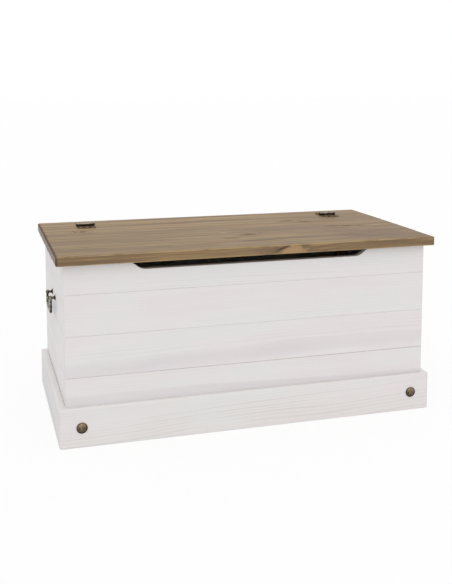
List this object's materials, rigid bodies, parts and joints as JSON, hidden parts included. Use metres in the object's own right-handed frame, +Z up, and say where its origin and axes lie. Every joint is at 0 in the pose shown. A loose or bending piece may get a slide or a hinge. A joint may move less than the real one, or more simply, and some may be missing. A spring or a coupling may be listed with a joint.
{
  "type": "storage trunk",
  "caption": "Pine storage trunk: whitewashed plank walls on a proud plinth, waxed lid on surface hinges, finger cut-out in front and a drop handle on each end.",
  "frame": {"origin": "on the floor, under the middle of the trunk's width and depth over the top", "axes": "+X to the right along the trunk's length, -Y to the front with the finger cut-out, +Z up"},
  "size_m": [0.915, 0.48, 0.4463],
  "materials": {
    "whitewashed_pine": "whitewash, satin",
    "waxed_pine": "brown wax, satin",
    "bare_pine": "planed, unfinished",
    "plywood": "sanded sheet",
    "antique_brass": "dark antique, worn",
    "zinc_steel": "zinc plated"
  },
  "bodies": {
    "carcass": {"front_plank_1": "whitewashed_pine", "front_plank_2": "whitewashed_pine", "front_plank_3": "whitewashed_pine", "front_plank_4": "whitewashed_pine", "back_plank_1": "whitewashed_pine", "back_plank_2": "whitewashed_pine", "back_plank_3": "whitewashed_pine", "back_plank_4": "whitewashed_pine", "left_plank_1": "whitewashed_pine", "left_plank_2": "whitewashed_pine", "left_plank_3": "whitewashed_pine", "left_plank_4": "whitewashed_pine", "right_plank_1": "whitewashed_pine", "right_plank_2": "whitewashed_pine", "right_plank_3": "whitewashed_pine", "right_plank_4": "whitewashed_pine", "plinth_front": "whitewashed_pine", "plinth_left": "whitewashed_pine", "plinth_right": "whitewashed_pine", "plinth_back": "whitewashed_pine", "block_front_left": "bare_pine", "block_front_right": "bare_pine", "block_back_left": "bare_pine", "block_back_right": "bare_pine", "post_front_left": "bare_pine", "post_front_right": "bare_pine", "post_back_left": "bare_pine", "post_back_right": "bare_pine", "cleat_front": "bare_pine", "cleat_back": "bare_pine", "cleat_left": "bare_pine", "cleat_right": "bare_pine", "rail_cleat": "bare_pine", "bottom_panel": "plywood", "rear_rail": "waxed_pine", "plinth_studs": "antique_brass", "carcass_screws": "zinc_steel", "hinge_rear_leaf_left": "antique_brass", "hinge_rear_leaf_right": "antique_brass", "hinge_pins": "antique_brass", "hinge_rear_screws": "antique_brass", "handle_posts_left": "antique_brass", "handle_posts_right": "antique_brass", "handle_nuts": "zinc_steel"},
    "lid": {"lid_board_1": "waxed_pine", "lid_board_2": "waxed_pine", "lid_board_3": "waxed_pine", "lid_board_4": "waxed_pine", "lid_batten_left": "waxed_pine", "lid_batten_right": "waxed_pine", "batten_screws": "zinc_steel", "hinge_front_leaf_left": "antique_brass", "hinge_front_leaf_right": "antique_brass", "hinge_front_screws": "antique_brass"},
    "left_bail": {"bail_left": "antique_brass"},
    "right_bail": {"bail_right": "antique_brass"}
  },
  "joints": [
    {"name": "lid_hinge", "type": "hinge", "parent": "carcass", "child": "lid", "pos_m": [0, 0.159, 0.4413], "axis": [-1, 0, 0], "range_deg": [0, 105]},
    {"name": "left_bail_swing", "type": "hinge", "parent": "carcass", "child": "left_bail", "pos_m": [-0.4515, 0.0105, 0.2953], "axis": [0, 1, 0], "range_deg": [-12, 192]},
    {"name": "right_bail_swing", "type": "hinge", "parent": "carcass", "child": "right_bail", "pos_m": [0.4515, 0.0105, 0.2953], "axis": [0, -1, 0], "range_deg": [-12, 192]}
  ]
}
